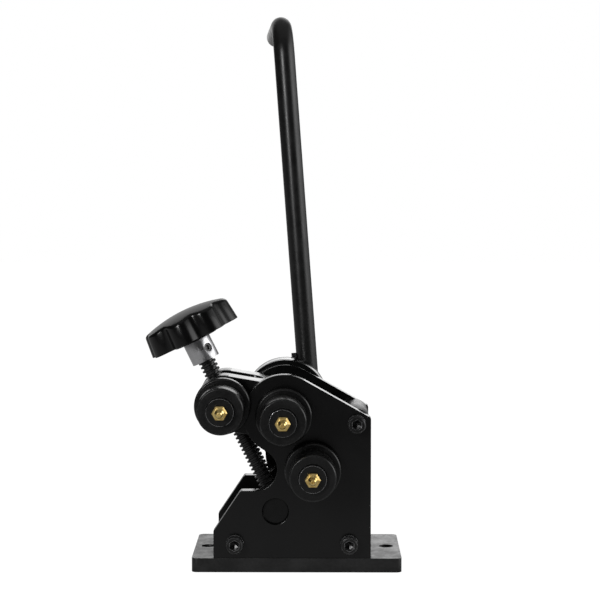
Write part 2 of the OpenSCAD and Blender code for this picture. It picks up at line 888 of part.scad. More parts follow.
module roller_c() {
    difference() {
        roller(axis_c, shaft_d + 2 * run_gap);
        ycyl(axis_c, bush_d + 2 * seat_gap, roller_bush_y0, flange_y + eps);
    }
}

module roller_c_bush() {
    color(bronze) difference() {
        yring(axis_c, bush_d, shaft_d + 2 * run_gap, roller_bush_y0, flange_y);
        ycyl(axis_c, shaft_d + ring_section, ring_y - ring_section, ring_y + ring_section);
    }
}

// Wire ring in the journal's groove that keeps the roller on
module roller_c_ring() {
    side = ring_section / 2 - seat_gap;
    color(steel) yring(axis_c, shaft_d + ring_section - 4 * run_gap, shaft_d - ring_section + 2 * seat_gap,
        ring_y - side, ring_y + side);
}

// Feed screw

module pivot_bar() {
    spot_d = nut_af * 1.4;
    color(black) difference() {
        ycyl(pivot, pivot_bar_d, front_y0 + pivot_recess, rear_y1 - pivot_recess);
        at_screw() {
            cylinder(d = screw_journal_d + 2 * run_gap, h = 2 * pivot_bar_d, center = true);
            for (side = [0, 180]) rotate([side, 0, 0])
                translate([0, 0, pivot_flat]) cylinder(d = spot_d, h = pivot_bar_d);
        }
    }
}

module lead_screw() {
    color(black) at_screw() {
        translate([0, 0, journal_z0]) cylinder(d = screw_journal_d, h = screw_shoulder - journal_z0 + eps);
        translate([0, 0, screw_shoulder]) cylinder(d = screw_d, h = boss_z0 - screw_shoulder);
        translate([0, 0, boss_z0 - eps]) cylinder(d = knob_spindle_d, h = screw_top - boss_z0 + eps);
    }
}

module screw_washers() {
    bore = screw_journal_d + 2 * seat_gap;
    color(steel) at_screw() for (z = [screw_shoulder - thrust_t, nut_z1])
        translate([0, 0, z]) difference() {
            cylinder(d = nut_af * 1.25, h = thrust_t);
            translate([0, 0, -eps]) cylinder(d = bore, h = thrust_t + 2 * eps);
        }
}

module screw_nut() {
    color(steel) at_screw() translate([0, 0, nut_z1 - nut_h]) difference() {
        cylinder(d = hex_d(nut_af), h = nut_h, $fn = 6);
        translate([0, 0, -eps]) cylinder(d = screw_journal_d + 2 * seat_gap, h = nut_h + 2 * eps);
    }
}

hub_hole_z = knob_hub_len / 2;

module knob_hub() {
    color(steel) at_screw() translate([0, 0, hub_z0]) difference() {
        cylinder(d = knob_hub_d, h = knob_hub_len);
        translate([0, 0, -eps]) cylinder(d = screw_d + 2 * seat_gap, h = knob_hub_len + 2 * eps);
        translate([0, 0, hub_hole_z]) rotate([90, 0, set_screw_turn])
            cylinder(d = knob_screw_d + 2 * seat_gap, h = knob_hub_d);
    }
}

module knob_set_screw() {
    inner = screw_d / 2 + seat_gap;
    outer = knob_hub_d / 2 - 1.5;
    color(black) at_screw() translate([0, 0, hub_z0 + hub_hole_z]) rotate([90, 0, set_screw_turn])
        difference() {
            translate([0, 0, inner]) cylinder(d = knob_screw_d, h = outer - inner);
            translate([0, 0, outer - 2]) cylinder(d = hex_d(4), h = 2 + eps, $fn = 6);
        }
}

lobe_points = 16;
knob_r = knob_d / 2;
function lobe_r(a) = knob_r - lobe_depth * pow((1 - cos(knob_lobes * a)) / 2, lobe_power);
dome_r = (knob_r * knob_r + knob_dome_h * knob_dome_h) / 2 / knob_dome_h;
knob_h = knob_rim_h + knob_dome_h;
knob_top_scale = 1 - knob_h * tan(knob_draft) / knob_r;

module knob() {
    step = 360 / knob_lobes / lobe_points;
    color("#111214") at_screw() difference() {
        union() {
            translate([0, 0, boss_z0]) cylinder(d = knob_boss_d, h = knob_boss_h + eps);
            translate([0, 0, knob_z0]) rotate([0, 0, knob_phase]) intersection() {
                linear_extrude(knob_h, scale = knob_top_scale)
                    polygon([for (i = [0 : knob_lobes * lobe_points - 1])
                        polar([0, 0], lobe_r(i * step), i * step)]);
                translate([0, 0, knob_h - dome_r]) sphere(r = dome_r);
            }
        }
        translate([0, 0, boss_z0 - eps])
            cylinder(d = knob_spindle_d + 2 * seat_gap, h = screw_top - boss_z0 + eps);
    }
}

base_plate();
front_plate();
rear_plate();
tie_spacers();
plate_bolts();
base_bolts();
plate_bushes();
gear_cover();
cover_sheet();
cover_screws();
cover_bush();
shaft_a();
roller_a();
roller_key_a();
thrust_washer_a();
nipple_a();
gear_a();
gear_key_a();
gear_clip_a();
shaft_b();
roller_b();
roller_key_b();
thrust_washer_b();
nipple_b();
gear_b();
gear_key_b();
gear_clip_b();
crank_hub();
hub_pin();
handle();
handle_bolt();
grip_plug();
arm_block();
arm_bushes();
axle_c();
axle_washer();
axle_clip();
nipple_c();
roller_c();
roller_c_bush();
roller_c_ring();
pivot_bar();
lead_screw();
screw_washers();
screw_nut();
knob_hub();
knob_set_screw();
knob();
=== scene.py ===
"""Looks of a hand cranked ring roller bender: finer pieces, finishes, studio and camera."""

import json
import math

import bmesh
import bpy
from mathutils import Euler, Matrix, Vector

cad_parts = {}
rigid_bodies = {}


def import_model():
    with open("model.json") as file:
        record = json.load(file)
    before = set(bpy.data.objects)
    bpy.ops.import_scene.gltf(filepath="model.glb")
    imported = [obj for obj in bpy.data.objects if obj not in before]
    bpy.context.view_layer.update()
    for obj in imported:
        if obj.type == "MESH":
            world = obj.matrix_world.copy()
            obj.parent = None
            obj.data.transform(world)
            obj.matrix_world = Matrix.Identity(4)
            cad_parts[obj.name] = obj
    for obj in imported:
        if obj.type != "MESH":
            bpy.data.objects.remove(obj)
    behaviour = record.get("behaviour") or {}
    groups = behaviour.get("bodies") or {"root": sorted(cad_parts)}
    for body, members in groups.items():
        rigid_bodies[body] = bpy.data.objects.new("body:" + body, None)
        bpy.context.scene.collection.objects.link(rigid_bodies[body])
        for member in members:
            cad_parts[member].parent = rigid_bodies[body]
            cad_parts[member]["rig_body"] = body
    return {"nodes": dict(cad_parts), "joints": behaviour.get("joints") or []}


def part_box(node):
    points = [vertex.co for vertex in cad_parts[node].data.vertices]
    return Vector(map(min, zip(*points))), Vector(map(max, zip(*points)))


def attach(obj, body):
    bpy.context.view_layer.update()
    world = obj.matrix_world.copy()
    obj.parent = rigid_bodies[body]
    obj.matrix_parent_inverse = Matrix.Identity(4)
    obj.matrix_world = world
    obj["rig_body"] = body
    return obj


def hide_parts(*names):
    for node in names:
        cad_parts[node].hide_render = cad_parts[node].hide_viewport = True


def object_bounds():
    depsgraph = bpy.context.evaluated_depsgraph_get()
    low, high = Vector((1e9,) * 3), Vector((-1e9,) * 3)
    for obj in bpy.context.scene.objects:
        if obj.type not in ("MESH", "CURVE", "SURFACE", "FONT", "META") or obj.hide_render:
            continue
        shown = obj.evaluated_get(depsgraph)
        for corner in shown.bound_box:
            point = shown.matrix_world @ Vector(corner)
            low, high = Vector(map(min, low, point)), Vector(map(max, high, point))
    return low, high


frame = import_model()
cad_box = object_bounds()
scene = bpy.context.scene
MM = 0.001

# Axes of the machine, from the joints of the frame
JOINT = {j["name"]: j for j in frame["joints"]}
AXIS_A = Vector(JOINT["upper_roller_turn"]["pos_m"])
AXIS_B = Vector(JOINT["crank_turn"]["pos_m"])
AXIS_C = Vector(JOINT["axle_swivel"]["pos_m"])
PIVOT = Vector(JOINT["pivot_tilt"]["pos_m"])
SCREW_AXIS = Vector(JOINT["knob_turn"]["axis"])
SCREW_TILT = math.atan2(-SCREW_AXIS.x, SCREW_AXIS.z)

# Frames with Z out of the front, out of the back, along the screw and along the handle
TO_FRONT = Matrix.Rotation(math.radians(90), 4, "X")
TO_BACK = Matrix.Rotation(math.radians(-90), 4, "X")
AT_SCREW = Matrix.Translation(PIVOT) @ Matrix.Rotation(-SCREW_TILT, 4, "Y")
HANDLE_LEAN = math.radians(4.2)
GRIP_YAW = math.radians(3.5)
hub_low, hub_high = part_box("crank_hub")
CRANK = Vector((AXIS_B.x, (hub_low.y + hub_high.y) / 2, AXIS_B.z))
AT_HANDLE = (Matrix.Translation(CRANK) @ Matrix.Rotation(-HANDLE_LEAN, 4, "Y")
             @ Matrix.Rotation(GRIP_YAW, 4, "Z"))


# Node trees

def put(tree, kind, values=None, **settings):
    """A node with its settings and its inputs, each a value or a socket to join."""
    node = tree.nodes.new(kind)
    for key, value in settings.items():
        setattr(node, key, value)
    for key, value in (values or {}).items():
        if isinstance(value, bpy.types.NodeSocket):
            tree.links.new(value, node.inputs[key])
        else:
            node.inputs[key].default_value = value
    return node


def calc(tree, operation, *values, clamp=False):
    """Output of a Math node."""
    node = put(tree, "ShaderNodeMath", dict(enumerate(values)), operation=operation, use_clamp=clamp)
    return node.outputs[0]


def noise(tree, vector, scale, detail=2.0, roughness=0.5):
    """Output of a Noise node."""
    node = put(tree, "ShaderNodeTexNoise",
               {"Vector": vector, "Scale": scale, "Detail": detail, "Roughness": roughness})
    return node.outputs[0]


def spread(tree, value, low, high, to_low, to_high):
    """Output of a Map Range node that keeps within its ends."""
    node = put(tree, "ShaderNodeMapRange", {"Value": value, "From Min": low, "From Max": high,
                                            "To Min": to_low, "To Max": to_high}, clamp=True)
    return node.outputs[0]


def tint(tree, share, first, second):
    """Output of a colour mix from the first to the second colour."""
    node = put(tree, "ShaderNodeMix", data_type="RGBA")
    for socket, value in ((node.inputs[0], share), (node.inputs[6], first), (node.inputs[7], second)):
        if isinstance(value, bpy.types.NodeSocket):
            tree.links.new(value, socket)
        else:
            socket.default_value = value
    return node.outputs[2]


def group(name, inputs, outputs):
    """An empty shader node group with float or vector sockets, and its two ends."""
    tree = bpy.data.node_groups.new(name, "ShaderNodeTree")
    for label, kind in inputs.items():
        tree.interface.new_socket(label, in_out="INPUT", socket_type="NodeSocket" + kind)
    for label in outputs:
        tree.interface.new_socket(label, in_out="OUTPUT", socket_type="NodeSocketFloat")
    return tree, tree.nodes.new("NodeGroupInput").outputs, tree.nodes.new("NodeGroupOutput").inputs


def mottle_group():
    """Cloudy tone over large and small spots, and a fine pebbled height."""
    tree, given, out = group("paint mottle", {"Place": "Vector", "Spot": "Float", "Pebble": "Float"},
                             ("Tone", "Height"))
    cloud = noise(tree, given["Place"], given["Spot"], 3.0, 0.6)
    fleck = noise(tree, given["Place"], calc(tree, "MULTIPLY", given["Spot"], 7.0), 2.0)
    tone = calc(tree, "ADD", calc(tree, "MULTIPLY", cloud, 0.65), calc(tree, "MULTIPLY", fleck, 0.35))
    tree.links.new(spread(tree, tone, 0.36, 0.64, 0.0, 1.0), out["Tone"])
    fine = noise(tree, given["Place"], given["Pebble"], 2.0, 0.55)
    finer = noise(tree, given["Place"], calc(tree, "MULTIPLY", given["Pebble"], 3.1), 1.0)
    height = calc(tree, "ADD", calc(tree, "MULTIPLY", fine, 0.7), calc(tree, "MULTIPLY", finer, 0.3))
    tree.links.new(height, out["Height"])
    return tree


def edge_group():
    """Rubbed edges: a mask that is strong where the surface turns, broken up by grain."""
    tree, given, out = group("edge rub", {"Place": "Vector", "Reach": "Float", "Grain": "Float"}, ("Mask",))
    round_off = put(tree, "ShaderNodeBevel", {"Radius": given["Reach"]}, samples=6)
    surface = put(tree, "ShaderNodeNewGeometry")
    agree = put(tree, "ShaderNodeVectorMath", {0: round_off.outputs[0], 1: surface.outputs["Normal"]},
                operation="DOT_PRODUCT")
    turn = spread(tree, agree.outputs["Value"], 0.99, 0.80, 0.0, 1.0)
    broken = spread(tree, noise(tree, given["Place"], given["Grain"], 4.0, 0.65), 0.36, 0.56, 0.0, 1.0)
    tree.links.new(calc(tree, "MULTIPLY", turn, broken, clamp=True), out["Mask"])
    return tree


def lathe_group():
    """Marks left by turning, about the Z axis of the given place."""
    tree, given, out = group("lathe marks", {"Place": "Vector", "Lines": "Float"}, ("Height", "Tone"))
    split = put(tree, "ShaderNodeSeparateXYZ", {0: given["Place"]}).outputs
    across = calc(tree, "SQRT", calc(tree, "ADD", calc(tree, "MULTIPLY", split[0], split[0]),
                                     calc(tree, "MULTIPLY", split[1], split[1])))
    along = calc(tree, "ADD", across, split[2])
    line = put(tree, "ShaderNodeTexNoise", {"W": along, "Scale": given["Lines"], "Detail": 3.0},
               noise_dimensions="1D").outputs[0]
    coarse = calc(tree, "MULTIPLY", given["Lines"], 0.15)
    band = put(tree, "ShaderNodeTexNoise", {"W": along, "Scale": coarse, "Detail": 1.0},
               noise_dimensions="1D").outputs[0]
    tree.links.new(line, out["Height"])
    tree.links.new(spread(tree, calc(tree, "ADD", line, band), 0.8, 1.2, 0.0, 1.0), out["Tone"])
    return tree


MOTTLE = mottle_group()
EDGE_RUB = edge_group()
LATHE = lathe_group()

# Reach and grain of rubbed edges, roughness that lathe marks add, and the cosine over which faces turn dull
RUB_REACH = 0.7 * MM
RUB_GRAIN = 260.0
LATHE_ROUGH = 0.08
DULL_BLEND = 0.08


def finish(name, dark, light, gloss, spot, pebble, relief=0.02, rub=None, metallic=0.0,
           turned_about=None, lines=2200.0, cut=0.02, specular=0.5, bare=False, top=None):
    """A material. gloss is the roughness from its smoothest to its dullest spots; rub is the colour of
    its worn edges, their roughness and their share, and bare says that they are down to the metal;
    turned_about is the place and direction of a lathe axis; top is the direction and the roughness of
    duller faces, and the least cosine to that direction that counts as one."""
    material = bpy.data.materials.new(name)
    material.use_nodes = True
    tree = material.node_tree
    tree.nodes.clear()
    place = put(tree, "ShaderNodeTexCoord").outputs["Object"]
    spots = put(tree, "ShaderNodeGroup", {}, node_tree=MOTTLE)
    tree.links.new(place, spots.inputs["Place"])
    spots.inputs["Spot"].default_value = spot
    spots.inputs["Pebble"].default_value = pebble
    colour = tint(tree, spots.outputs["Tone"], (*dark, 1), (*light, 1))
    rough = spread(tree, spots.outputs["Tone"], 0.0, 1.0, gloss[0], gloss[1])
    bump = put(tree, "ShaderNodeBump", {"Strength": 1.0, "Distance": relief * MM,
                                        "Height": spots.outputs["Height"]})
    if turned_about:
        centre, turn = turned_about
        shift = turn.to_matrix() @ -Vector(centre)
        about = put(tree, "ShaderNodeMapping", {"Vector": place, "Location": shift, "Rotation": turn})
        marks = put(tree, "ShaderNodeGroup", {}, node_tree=LATHE)
        tree.links.new(about.outputs[0], marks.inputs["Place"])
        marks.inputs["Lines"].default_value = lines
        bump = put(tree, "ShaderNodeBump", {"Strength": 1.0, "Distance": cut * MM, "Normal": bump.outputs[0],
                                            "Height": marks.outputs["Height"]})
        rough = calc(tree, "ADD", rough, calc(tree, "MULTIPLY", marks.outputs["Tone"], LATHE_ROUGH))
    if top:
        upward, top_rough, least = top
        normal = put(tree, "ShaderNodeTexCoord").outputs["Normal"]
        facing = put(tree, "ShaderNodeVectorMath", {0: normal, 1: upward}, operation="DOT_PRODUCT")
        dull = spread(tree, facing.outputs["Value"], least, least + DULL_BLEND, 0.0, top_rough)
        rough = calc(tree, "MAXIMUM", rough, dull)
    if rub:
        worn, worn_rough, share = rub
        edges = put(tree, "ShaderNodeGroup", {}, node_tree=EDGE_RUB)
        tree.links.new(place, edges.inputs["Place"])
        edges.inputs["Reach"].default_value = RUB_REACH
        edges.inputs["Grain"].default_value = RUB_GRAIN
        mask = calc(tree, "MULTIPLY", edges.outputs["Mask"], share)
        colour = tint(tree, mask, colour, (*worn, 1))
        rough = calc(tree, "ADD", calc(tree, "MULTIPLY", rough, calc(tree, "SUBTRACT", 1.0, mask)),
                     calc(tree, "MULTIPLY", mask, worn_rough))
        if bare:
            metallic = mask
    shader = put(tree, "ShaderNodeBsdfPrincipled", {
        "Base Color": colour, "Roughness": rough, "Metallic": metallic, "Normal": bump.outputs[0],
        "Specular IOR Level": specular})
    out = put(tree, "ShaderNodeOutputMaterial")
    tree.links.new(shader.outputs[0], out.inputs[0])
    return material


def grey(value):
    """A grey with a trace of blue."""
    return (value, value, value * 1.02)


# Turning axes for lathe marks: Y onto Z for the rollers, the screw onto Z for its pieces; then the way up it
Y_TO_Z = Euler((math.radians(90), 0, 0))
SCREW_TO_Z = Euler((0, SCREW_TILT, 0))
SCREW_UP = (-math.sin(SCREW_TILT), 0, math.cos(SCREW_TILT))

base_paint = finish("base_paint", grey(0.005), grey(0.016), (0.28, 0.46), spot=60, pebble=700, relief=0.04,
                    rub=(grey(0.10), 0.45, 0.5))
black_paint = finish("black_paint", grey(0.0022), grey(0.0040), (0.16, 0.24), spot=30, pebble=1500,
                     relief=0.012, rub=(grey(0.05), 0.30, 0.35), specular=0.40)
cover_paint = finish("cover_paint", grey(0.0022), grey(0.0040), (0.10, 0.16), spot=30, pebble=1500,
                     relief=0.006, rub=(grey(0.05), 0.30, 0.35), specular=0.9)
handle_paint = finish("handle_paint", grey(0.005), grey(0.009), (0.28, 0.38), spot=50, pebble=900,
                      relief=0.03, rub=(grey(0.05), 0.4, 0.3))
screw_oxide = finish("screw_oxide", grey(0.005), grey(0.011), (0.26, 0.42), spot=140, pebble=2600,
                     relief=0.02, rub=(grey(0.09), 0.35, 0.5))
pivot_oxide = finish("pivot_oxide", grey(0.002), grey(0.004), (0.24, 0.34), spot=140, pebble=2600,
                     specular=0.32)
fastener_oxide = finish("fastener_oxide", grey(0.003), grey(0.006), (0.20, 0.30), spot=160, pebble=2600,
                        relief=0.01, rub=(grey(0.85), 0.24, 1.0), bare=True)
roller_oxide = {
    key: finish("roller_oxide_" + key, grey(0.004), grey(0.008), (0.20, 0.30), spot=60, pebble=2400,
                relief=0.008, rub=(grey(0.90), 0.24, 1.0), turned_about=(axis, Y_TO_Z), cut=0.008,
                bare=True, specular=0.42)
    for key, axis in (("a", AXIS_A), ("b", AXIS_B), ("c", AXIS_C))}
bright_steel = finish("bright_steel", grey(0.55), grey(0.66), (0.24, 0.36), spot=90, pebble=2600,
                      relief=0.01, metallic=1.0, turned_about=(PIVOT, SCREW_TO_Z), lines=2600)
zinc_steel = finish("zinc_steel", grey(0.26), grey(0.38), (0.28, 0.42), spot=70, pebble=2200, relief=0.012,
                    metallic=1.0)
tie_steel = finish("tie_steel", grey(0.03), grey(0.05), (0.26, 0.40), spot=70, pebble=2200, relief=0.012,
                   specular=0.25)
gear_steel = finish("gear_steel", grey(0.22), grey(0.34), (0.28, 0.44), spot=60, pebble=1800, relief=0.02,
                    metallic=1.0)
bronze = finish("bronze", (0.42, 0.24, 0.10), (0.56, 0.34, 0.15), (0.28, 0.44), spot=80, pebble=2000,
                relief=0.015, metallic=1.0)
brass = finish("brass", (0.66, 0.42, 0.10), (1.0, 0.80, 0.36), (0.14, 0.22), spot=300, pebble=3000,
               relief=0.012, metallic=1.0, top=((0, -1, 0), 0.42, 0.74))
knob_plastic = finish("knob_plastic", grey(0.0030), grey(0.0045), (0.14, 0.20), spot=70, pebble=380,
                      relief=0.012, specular=0.36, top=(SCREW_UP, 0.38, 0.86))
plug_plastic = finish("plug_plastic", grey(0.012), grey(0.020), (0.45, 0.60), spot=70, pebble=1200,
                      relief=0.03)


# Mesh helpers

# Distances below which points are one, in new shapes, CAD copies and the thread
MERGE_DIST = 1e-6
CAD_MERGE_DIST = 2e-6
THREAD_MERGE_DIST = 1e-5

# Triangles of a CAD copy join up to this angle in degrees. Faces lie level below the second one, and a patch
# of them counts as curved where a neighbour has this share of its area
JOIN_ANGLE = 0.4
LEVEL_ANGLE = 0.5
EDGE_SHARE = 0.3


def turned(profile, steps, closed=False):
    """A bmesh spun about Z from points (radius, height) in millimetres."""
    bm = bmesh.new()
    rim = [bm.verts.new((r * MM, 0, h * MM)) for r, h in profile]
    pairs = list(zip(rim, rim[1:]))
    if closed:
        pairs.append((rim[-1], rim[0]))
    edges = [bm.edges.new(pair) for pair in pairs]
    bmesh.ops.spin(bm, geom=rim + edges, cent=(0, 0, 0), axis=(0, 0, 1), angle=math.tau, steps=steps,
                   use_merge=True, use_duplicate=False)
    tidy(bm)
    return bm


def tidy(bm):
    """Merges doubles and turns the faces outwards."""
    bmesh.ops.remove_doubles(bm, verts=bm.verts, dist=MERGE_DIST)
    bmesh.ops.recalc_face_normals(bm, faces=bm.faces)


def soften(bm, width, segments=2, sharper_than=35, chosen=None):
    """Rounds all or the chosen edges that turn by more than some degrees, by a width in millimetres."""
    limit = math.radians(sharper_than)
    edges = [e for e in bm.edges if e.is_manifold and e.calc_face_angle() > limit
             and (chosen is None or chosen(e))]
    bmesh.ops.bevel(bm, geom=edges, offset=width * MM, offset_type="OFFSET", segments=segments, profile=0.5,
                    affect="EDGES", clamp_overlap=True, material=-1)


def cad_copy(node):
    """A copy of a CAD node, with flat areas made one face where they can be."""
    bm = bmesh.new()
    bm.from_mesh(frame["nodes"][node].data)
    bmesh.ops.remove_doubles(bm, verts=bm.verts, dist=CAD_MERGE_DIST)
    bmesh.ops.dissolve_limit(bm, angle_limit=math.radians(JOIN_ANGLE), verts=bm.verts, edges=bm.edges)
    return bm


def moved(bm, *matrices):
    """The bmesh carried by the matrices, the last one first."""
    for matrix in reversed(matrices):
        bmesh.ops.transform(bm, matrix=matrix, verts=bm.verts)
    return bm


def joined(*parts):
    """One bmesh from several."""
    whole = bmesh.new()
    for part in parts:
        mesh = bpy.data.meshes.new("part")
        part.to_mesh(mesh)
        part.free()
        whole.from_mesh(mesh)
        bpy.data.meshes.remove(mesh)
    return whole


def copies(bm, matrices):
    """One bmesh with the shape at each matrix."""
    shape = bpy.data.meshes.new("shape")
    bm.to_mesh(shape)
    bm.free()
    whole = bmesh.new()
    for matrix in matrices:
        mesh = shape.copy()
        mesh.transform(matrix)
        whole.from_mesh(mesh)
        bpy.data.meshes.remove(mesh)
    bpy.data.meshes.remove(shape)
    return whole


def turn_to(face):
    """The faces beside a face, each with the angle in degrees between them."""
    beside = (f for e in face.edges for f in e.link_faces if f is not face)
    return [(other, math.degrees(face.normal.angle(other.normal, 0))) for other in beside]


def curved_faces(bm, crease):
    """Tells curved faces from level areas, whose rounded edges mustn't bend the light across them."""
    bm.normal_update()
    patch_of, patch_size, curved = {}, [], set()
    for start in bm.faces:
        if start in patch_of:
            continue
        patch_of[start] = len(patch_size)
        patch = [start]
        for face in patch:
            for other, angle in turn_to(face):
                if angle < LEVEL_ANGLE and other not in patch_of:
                    patch_of[other] = len(patch_size)
                    patch.append(other)
        patch_size.append(sum(face.calc_area() for face in patch))
    for face, own in patch_of.items():
        for other, angle in turn_to(face):
            next_size = patch_size[patch_of[other]]
            if LEVEL_ANGLE <= angle < crease and next_size > EDGE_SHARE * patch_size[own]:
                curved.add(own)
    return [patch_of[face] in curved for face in bm.faces]


def piece(name, bm, material, slot, *nodes, crease=32):
    """A finished piece that stands for CAD nodes and rides with them."""
    curved = curved_faces(bm, crease)
    mesh = bpy.data.meshes.new(name)
    bm.to_mesh(mesh)
    bm.free()

    # Normals kept from the CAD mesh no longer fit the rounded one
    stale = mesh.attributes.get("custom_normal")
    if stale:
        mesh.attributes.remove(stale)
    mesh.materials.clear()
    mesh.materials.append(material)
    mesh.polygons.foreach_set("material_index", [0] * len(mesh.polygons))

    # The level faces are marked last, because setting sharp edges clears the marks
    mesh.set_sharp_from_angle(angle=math.radians(crease))
    mesh.polygons.foreach_set("use_smooth", curved)
    obj = bpy.data.objects.new(name, mesh)
    scene.collection.objects.link(obj)
    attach(obj, frame["nodes"][nodes[0]]["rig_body"])
    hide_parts(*nodes)


# Pieces that keep the CAD shape and get softened edges

def dressed(node, material, slot, width, segments=2):
    """A CAD node with rounded edges."""
    bm = cad_copy(node)
    soften(bm, width, segments)
    piece(node + "_dressed", bm, material, slot, node)


# Outside edges of the base lie within this strip; rounding there and at the holes
BASE_STRIP = 2.5
BASE_ROUND = 1.8
BASE_HOLE_ROUND = 0.8


def make_base():
    """The base plate, rounder along its outside than at its holes."""
    bm = cad_copy("base_plate")
    low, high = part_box("base_plate")

    def outside(edge):
        return all(min(v.co.x - low.x, high.x - v.co.x, v.co.y - low.y, high.y - v.co.y) < BASE_STRIP * MM
                   for v in edge.verts)

    soften(bm, BASE_ROUND, 3, chosen=outside)
    soften(bm, BASE_HOLE_ROUND, 2, chosen=lambda edge: not outside(edge))
    piece("base_plate_dressed", bm, base_paint, "base_paint", "base_plate")


make_base()
dressed("front_plate", black_paint, "black_paint", 0.5)
dressed("rear_plate", black_paint, "black_paint", 0.5)
dressed("gear_cover", cover_paint, "black_paint", 1.2, 3)
dressed("cover_sheet", black_paint, "black_paint", 0.3)
dressed("arm_block", black_paint, "black_paint", 0.6)
dressed("tie_spacers", tie_steel, "bright_steel", 0.8)
dressed("shaft_a", roller_oxide["a"], "black_oxide", 0.9)
dressed("shaft_b", roller_oxide["b"], "black_oxide", 0.9)
dressed("axle_c", roller_oxide["c"], "black_oxide", 0.9)
dressed("axle_washer", zinc_steel, "bright_steel", 0.3)
dressed("axle_clip", fastener_oxide, "dark_steel", 0.2)
dressed("thrust_washer_a", bronze, "bronze", 0.3)
dressed("thrust_washer_b", bronze, "bronze", 0.3)
dressed("crank_hub", black_paint, "black_paint", 0.9, 3)
dressed("hub_pin", fastener_oxide, "dark_steel", 0.4)
dressed("handle_bolt", fastener_oxide, "dark_steel", 0.35)
dressed("knob_hub", bright_steel, "bright_steel", 0.5)
dressed("knob_set_screw", fastener_oxide, "dark_steel", 0.25)
dressed("screw_washers", zinc_steel, "bright_steel", 0.3)
dressed("screw_nut", zinc_steel, "bright_steel", 0.5)


PIVOT_GROOVE_W = 1.0
PIVOT_GROOVE_DEPTH = 2.5


def make_pivot():
    """The pivot bar with a groove round the face of each end."""
    bm = cad_copy("pivot_bar")
    by_depth = sorted(bm.faces, key=lambda f: f.calc_center_median().y)
    for end, inward in ((by_depth[0], 1), (by_depth[-1], -1)):
        rim = end.verts[:]
        bmesh.ops.inset_region(bm, faces=[end], thickness=PIVOT_GROOVE_W * MM, use_even_offset=True)
        bmesh.ops.translate(bm, vec=(0, PIVOT_GROOVE_DEPTH * MM * inward, 0), verts=rim)
    soften(bm, 0.3)
    piece("pivot_bar_dressed", bm, pivot_oxide, "black_oxide", "pivot_bar")


make_pivot()


# Rollers

ROLLER_BORE = 12.05
ROLLER_PROFILE = [
    (ROLLER_BORE, 0), (24.0, 0), (25.0, 1.0), (25.0, 9.0), (24.0, 10.0), (19.0, 10.0), (19.0, 13.0),
    (20.0, 13.0), (20.5, 13.5), (20.5, 45.0), (19.5, 46.0), (ROLLER_BORE + 0.7, 46.0), (ROLLER_BORE, 45.3)]


def make_roller(key, axis, node):
    """A flanged roller with its groove, chamfers and turned faces."""
    bm = turned(ROLLER_PROFILE, 128, closed=True)
    soften(bm, 0.2, 2, 25)
    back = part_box(node)[1].y
    moved(bm, Matrix.Translation((axis.x, back, axis.z)), TO_FRONT)
    piece(node + "_turned", bm, roller_oxide[key], "black_oxide", node)


make_roller("a", AXIS_A, "roller_a")
make_roller("b", AXIS_B, "roller_b")
make_roller("c", AXIS_C, "roller_c")


# Grease nipples

NIPPLE_HEX_R = 6.0 / math.cos(math.radians(30))
NIPPLE_TIP = [(0, 5.2), (4.3, 5.2), (4.3, 6.6), (3.4, 7.2), (2.5, 8.4), (2.4, 9.6), (2.7, 10.3), (3.3, 11.0),
              (3.3, 11.7), (2.7, 12.7), (1.9, 13.4), (1.0, 13.5), (0.8, 13.0), (0, 12.9)]
NIPPLE_COLLAR = [(0, 0), (NIPPLE_HEX_R, 0), (NIPPLE_HEX_R, 4.3), (4.9, 5.5), (0, 5.5)]
NIPPLE_THREAD = [(0, -9.0), (4.0, -9.0), (4.0, 0.5), (0, 0.5)]
NIPPLE_H = 13.5


def make_nipple(axis, node):
    """A hexagon with chamfered corners, and a tip with a neck, a head and a ball seat."""
    collar = turned(NIPPLE_COLLAR, 6)
    soften(collar, 0.25, 2, 20)
    tip = turned(NIPPLE_TIP, 48)
    thread = turned(NIPPLE_THREAD, 48)
    bm = joined(collar, tip, thread)
    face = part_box(node)[0].y + NIPPLE_H * MM
    moved(bm, Matrix.Translation((axis.x, face, axis.z)), TO_FRONT)
    piece(node + "_turned", bm, brass, "brass", node)


make_nipple(AXIS_A, "nipple_a")
make_nipple(AXIS_B, "nipple_b")
make_nipple(AXIS_C, "nipple_c")


# Feed screw with a trapezoidal thread

THREAD_PITCH = 4.0
THREAD_CREST = 7.95
THREAD_ROOT = 5.9
TURN_STEPS = 40
SCREW_LOW = 12.3
SCREW_TO_C = (Vector((AXIS_C.x, 0, AXIS_C.z)) - Vector((PIVOT.x, 0, PIVOT.z))).length / MM
ARM_HALF_H = 24.5
HUB_GAP = 15.0
HUB_LEN = 20.5
BOSS_LOW = SCREW_TO_C + ARM_HALF_H + HUB_GAP + HUB_LEN
KNOB_LOW = BOSS_LOW + 2.0
JOURNAL_LOW = -22.8
JOURNAL_R = 6.0
THREAD_PROFILE = [(THREAD_ROOT, 0), (THREAD_ROOT, 1.0), (THREAD_CREST, 1.75), (THREAD_CREST, 3.25),
                  (THREAD_ROOT, THREAD_PITCH)]
JOURNAL = [(0, JOURNAL_LOW), (JOURNAL_R - 0.8, JOURNAL_LOW), (JOURNAL_R, JOURNAL_LOW + 0.8),
           (JOURNAL_R, SCREW_LOW + 1), (0, SCREW_LOW + 1)]
SPINDLE = [(0, BOSS_LOW - 1), (JOURNAL_R, BOSS_LOW - 1), (JOURNAL_R, KNOB_LOW + 9.0), (0, KNOB_LOW + 9.0)]


